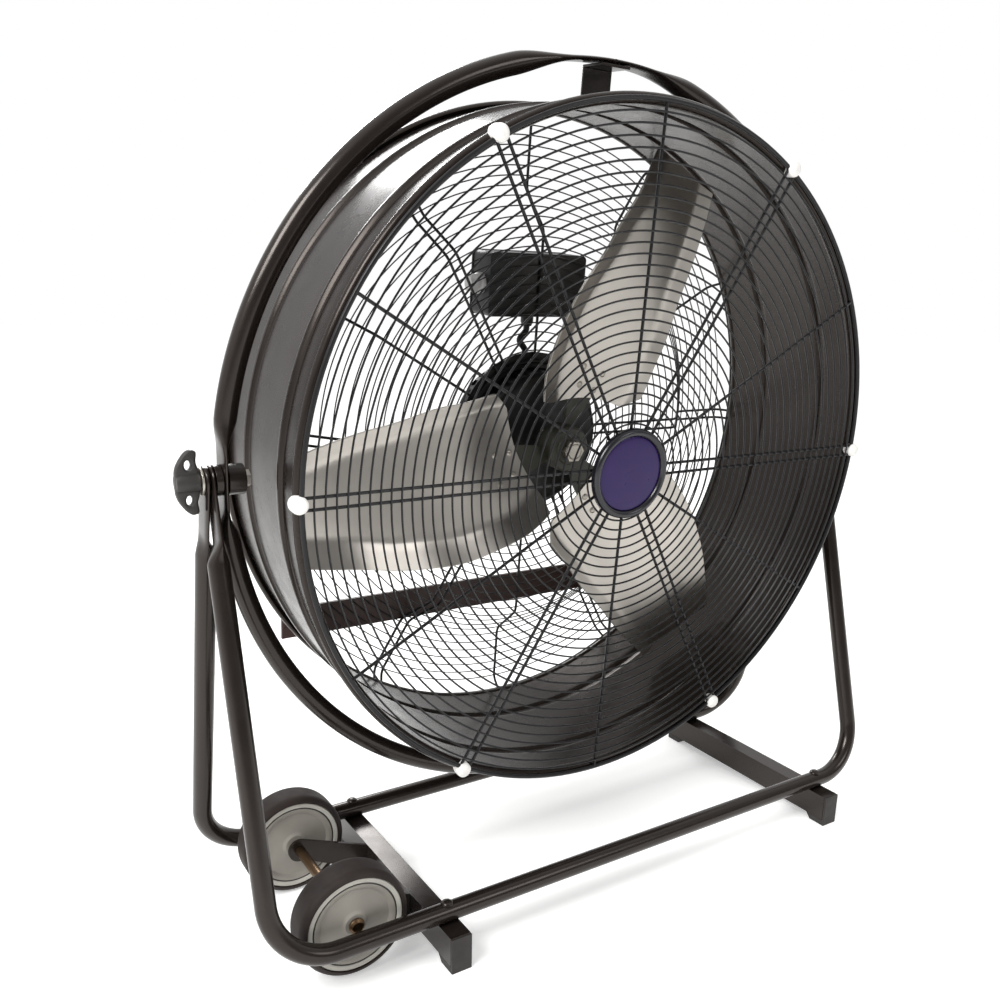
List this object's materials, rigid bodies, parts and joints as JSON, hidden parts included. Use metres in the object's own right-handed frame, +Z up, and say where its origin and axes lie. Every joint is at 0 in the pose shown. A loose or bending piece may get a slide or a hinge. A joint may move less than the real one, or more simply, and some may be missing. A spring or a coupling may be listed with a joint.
{
  "type": "drum fan",
  "caption": "Large tilting drum fan: round sheet drum with wire guards and a paddle fan, held in a tube hoop between two U-shaped tube stands with rails, feet and transport wheels.",
  "frame": {"origin": "on the floor, midway across the overall width and the overall depth; the tilt axis is 4.3 mm in front of it and 534.6 mm above it", "axes": "+Z up, -Y the way the fan blows, +X to the right of a person facing the front guard"},
  "size_m": [0.943, 0.3386, 0.9618],
  "materials": {
    "stand_paint": "satin warm black powder coat",
    "drum_paint": "semi-gloss warm black paint",
    "guard_wire": "satin black coated wire",
    "foot_plastic": "matte black moulding",
    "zinc": "zinc plated",
    "axle_steel": "yellow passivated steel",
    "clip_plastic": "white moulding",
    "badge_rim": "glossy black",
    "badge_disc": "violet, bare",
    "motor_paint": "black paint",
    "winding": "varnished copper",
    "box_plastic": "black moulding",
    "cable": "black sheath",
    "brace_paint": "dark brown paint",
    "hub_steel": "dark olive coating",
    "blade_metal": "satin, lightly brushed",
    "wheel_plastic": "grey beige moulding",
    "tyre_rubber": "dark brown rubber",
    "knob_plastic": "black moulding",
    "dial_plastic": "light grey moulding"
  },
  "bodies": {
    "stand": {"front_stand_tube": "stand_paint", "rear_stand_tube": "stand_paint", "base_rail_left": "stand_paint", "base_rail_right": "stand_paint", "foot_front_left": "foot_plastic", "foot_front_right": "foot_plastic", "foot_rear_left": "foot_plastic", "foot_rear_right": "foot_plastic", "pivot_washer_left": "zinc", "pivot_washer_right": "zinc", "axle": "axle_steel", "axle_bracket_front": "stand_paint", "axle_bracket_rear": "stand_paint", "axle_cap_front": "zinc", "axle_cap_rear": "zinc"},
    "drum": {"drum_shell": "drum_paint", "front_guard": "guard_wire", "rear_guard": "guard_wire", "guard_clip_1": "clip_plastic", "guard_clip_2": "clip_plastic", "guard_clip_3": "clip_plastic", "guard_clip_4": "clip_plastic", "guard_clip_5": "clip_plastic", "guard_clip_6": "clip_plastic", "badge_rim": "badge_rim", "badge_disc": "badge_disc", "motor_shell": "motor_paint", "motor_cover": "motor_paint", "front_bearing": "zinc", "rear_bearing": "zinc", "stator": "winding", "motor_mount_ring": "motor_paint", "switch_box": "box_plastic", "switch_box_cover": "box_plastic", "box_gland": "box_plastic", "motor_gland": "box_plastic", "motor_lead": "cable", "rear_brace_bar": "brace_paint", "hoop_bracket_top": "stand_paint", "hoop_bracket_bottom": "stand_paint", "hoop_left": "stand_paint", "pivot_boss_left": "stand_paint", "pivot_spacer_left": "stand_paint", "pivot_bolt_left": "zinc", "hoop_right": "stand_paint", "pivot_boss_right": "stand_paint", "pivot_spacer_right": "stand_paint", "pivot_bolt_right": "zinc"},
    "fan": {"rotor_shaft": "zinc", "fan_hub": "hub_steel", "fan_blade_1": "blade_metal", "fan_blade_2": "blade_metal", "fan_blade_3": "blade_metal"},
    "wheel_front": {"wheel_disc_front": "wheel_plastic", "tyre_front": "tyre_rubber"},
    "wheel_rear": {"wheel_disc_rear": "wheel_plastic", "tyre_rear": "tyre_rubber"},
    "knob_left": {"lock_knob_left": "knob_plastic"},
    "knob_right": {"lock_knob_right": "knob_plastic"},
    "dial": {"speed_dial": "dial_plastic"}
  },
  "joints": [
    {"name": "drum_tilt", "type": "hinge", "parent": "stand", "child": "drum", "pos_m": [0, -0.00429, 0.5346], "axis": [1, 0, 0], "range_deg": [-94.8, 85.2]},
    {"name": "fan_spin", "type": "hinge", "parent": "drum", "child": "fan", "pos_m": [0, -0.00429, 0.5346], "axis": [0, 0.9965, 0.0837], "continuous": true},
    {"name": "wheel_front_spin", "type": "hinge", "parent": "stand", "child": "wheel_front", "pos_m": [-0.343, -0.09729, 0.063], "axis": [0, 1, 0], "continuous": true},
    {"name": "wheel_rear_spin", "type": "hinge", "parent": "stand", "child": "wheel_rear", "pos_m": [-0.343, 0.08271, 0.063], "axis": [0, 1, 0], "continuous": true},
    {"name": "knob_left_turn", "type": "hinge", "parent": "drum", "child": "knob_left", "pos_m": [-0.46, -0.00429, 0.5346], "axis": [-1, 0, 0], "range_deg": [0, 270]},
    {"name": "knob_right_turn", "type": "hinge", "parent": "drum", "child": "knob_right", "pos_m": [0.46, -0.00429, 0.5346], "axis": [1, 0, 0], "range_deg": [0, 270]},
    {"name": "dial_turn", "type": "hinge", "parent": "drum", "child": "dial", "pos_m": [-0.0793, 0.10074, 0.72807], "axis": [-1, 0, 0], "range_deg": [0, 120]}
  ]
}
